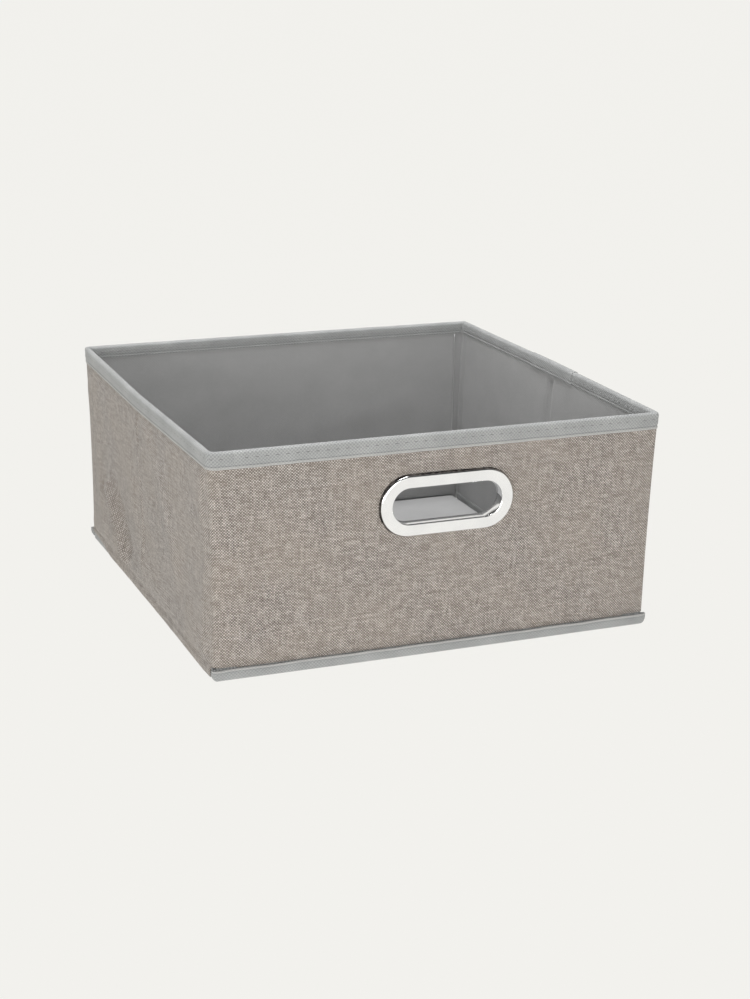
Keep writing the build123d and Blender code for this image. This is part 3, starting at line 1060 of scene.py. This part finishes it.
def build_base():
    """The base panel: a board wrapped top and bottom, with a soft rounded bound edge."""
    for node, seed in (("base_top_skin", 2.0), ("base_bottom_skin", 6.0)):
        low, high = node_box(node)
        skin = flat_sheet(f"{node}_cloth", high[0], high[1], low[2], high[2] - low[2], 81, seed, 0.0)
        dress(skin, "lining_fabric")
        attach(skin, "base_panel")
        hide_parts(node)
    low, high = node_box("base_edge_tape")
    half, corner, bottom, top = high[0], 4.0, low[2], high[2]
    middle, radius = (bottom + top) / 2, (top - bottom) / 2 + 0.03
    section = [(-1.9, bottom), (-1.8, bottom - 0.03)]
    for k in range(9):
        angle = math.pi * (k / 8 - 0.5)
        section.append((1.2 * math.cos(angle) - 1.2, middle + radius * math.sin(angle)))
    section += [(-1.8, top + 0.03), (-1.9, top)]
    outline = []
    for quarter in range(4):
        for k in range(7):
            angle = math.radians(quarter * 90 + 90 * k / 6)
            sx = (1, -1, -1, 1)[quarter]
            sy = (1, 1, -1, -1)[quarter]
            outline.append((sx * (half - corner), sy * (half - corner), math.cos(angle), math.sin(angle)))
    dense = []
    for k, (cx, cy, nx, ny) in enumerate(outline):
        dense.append((cx + nx * corner, cy + ny * corner, nx, ny))
        following = outline[(k + 1) % len(outline)]
        if (following[0], following[1]) != (cx, cy):
            ax, ay = cx + nx * corner, cy + ny * corner
            bx, by = following[0] + following[2] * corner, following[1] + following[3] * corner
            for t in np.linspace(0, 1, 50)[1:-1]:
                dense.append((ax + (bx - ax) * t, ay + (by - ay) * t, nx, ny))
    points, strip = [], []
    round_edge = 0.0
    for k, (x, y, nx, ny) in enumerate(dense):
        if k:
            round_edge += math.hypot(x - dense[k - 1][0], y - dense[k - 1][1])
        for i, (d, z) in enumerate(section):
            points.append((x + nx * d, y + ny * d, z))
            strip.append((round_edge, i * 1.1, 0.0))
    points = [(x, y + (REAR_EDGE if y > 0 else 0), z) for x, y, z in points]
    edge = put("base_edge_binding", points, sweep_faces(len(dense), len(section), flip=True), strip)
    dress(edge, "lining_fabric")
    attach(edge, "base_panel")
    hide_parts("base_edge_tape")


# --- Stage, light and camera ---------------------------------------------------------------------
def build_stage():
    size = 60.0
    mesh = bpy.data.meshes.new("floor")
    corners = [(-size, -size), (size, -size), (size, size), (-size, size)]
    mesh.from_pydata([(x, y, -0.0002) for x, y in corners], [], [(0, 1, 2, 3)])
    floor = bpy.data.objects.new("floor", mesh)
    bpy.context.scene.collection.objects.link(floor)
    m = Shader("pale_floor")
    grain = object_noise(m, 8.0, 2.0)
    color = m.mix(grain, rgb(243, 242, 238), rgb(241, 240, 236))
    m.finish(m.mix(0.995, color, (0, 0, 0, 1)), Roughness=1.0, Specular_IOR_Level=0.0)
    m.bsdf.inputs["Emission Color"].default_value = rgb(242, 241, 237)
    m.bsdf.inputs["Emission Strength"].default_value = 0.995
    mesh.materials.append(m.material)
    world = bpy.data.worlds.new("studio")
    world.use_nodes = True
    bpy.context.scene.world = world
    # Bright round the horizon and dark overhead, as in a white tent with an open top
    tree = world.node_tree
    background = tree.nodes["Background"]
    background.inputs[0].default_value = rgb(242, 241, 237)
    direction = tree.nodes.new("ShaderNodeTexCoord")
    parts = tree.nodes.new("ShaderNodeSeparateXYZ")
    fade = tree.nodes.new("ShaderNodeMapRange")
    fade.interpolation_type = "SMOOTHSTEP"
    tree.links.new(direction.outputs["Generated"], parts.inputs[0])
    tree.links.new(parts.outputs[2], fade.inputs[0])
    for socket, value in zip(fade.inputs[1:5], (0.3, 0.55, 1.0, 0.05)):
        socket.default_value = value
    tree.links.new(fade.outputs[0], background.inputs[1])


def soft_light(name, place_at, target, size, power):
    data = bpy.data.lights.new(name, "AREA")
    data.shape = "RECTANGLE"
    data.size, data.size_y = size
    data.energy = power
    light = bpy.data.objects.new(name, data)
    light.location = place_at
    direction = Vector(target) - Vector(place_at)
    light.rotation_euler = direction.to_track_quat("-Z", "Y").to_euler()
    bpy.context.scene.collection.objects.link(light)


def build_lights():
    soft_light("key", (-0.25, -1.4, 0.36), (0, 0, 0.08), (0.7, 0.7), 5.5)
    soft_light("top", (0.0, 0.05, 1.5), (0, 0, 0.1), (0.6, 0.6), 22)
    soft_light("left", (-1.2, -0.75, 0.3), (0, 0, 0.1), (0.4, 0.4), 3.3)


CAMERA = {"azimuth": -22.536, "elevation": 17.269, "roll": 1.085, "distance": 1.3772}
AIM = (0.01678, 0.05664)  # right of and above the origin, in the camera's own directions
FOCAL_PIXELS = 1880.0
PICTURE_LONG_SIDE = 999
SENSOR = 36.0


def build_camera():
    azimuth, elevation = math.radians(CAMERA["azimuth"]), math.radians(CAMERA["elevation"])
    roll = math.radians(CAMERA["roll"])
    level = math.cos(elevation)
    back = Vector((math.sin(azimuth) * level, -math.cos(azimuth) * level, math.sin(elevation)))
    right = (-back).cross(Vector((0, 0, 1))).normalized()
    up = right.cross(-back)
    right, up = right * math.cos(roll) + up * math.sin(roll), up * math.cos(roll) - right * math.sin(roll)
    data = bpy.data.cameras.new("camera")
    data.sensor_width = SENSOR
    data.lens = FOCAL_PIXELS / PICTURE_LONG_SIDE * SENSOR
    data.clip_start, data.clip_end = 0.05, 30
    camera = bpy.data.objects.new("camera", data)
    at = back * CAMERA["distance"] + right * AIM[0] + up * AIM[1]
    turned = Matrix((right, up, back)).transposed().to_4x4()
    camera.matrix_world = Matrix.Translation(at) @ turned
    bpy.context.scene.collection.objects.link(camera)
    bpy.context.scene.camera = camera


build_camera()
build_stage()
build_lights()
build_layers()
build_rim_tape()
build_overlap()
build_corner_seam()
build_stitches()
build_rings()
build_lips()
build_hems()
build_bottom()
build_base()

for node in frame["record"]["subparts"]:
    cad_piece = frame["nodes"][node["node"]]
    if not cad_piece.hide_render:
        dress(cad_piece, node["material_slot"])

scene = bpy.context.scene
scene.view_settings.view_transform = "Standard"
scene.view_settings.look = "None"
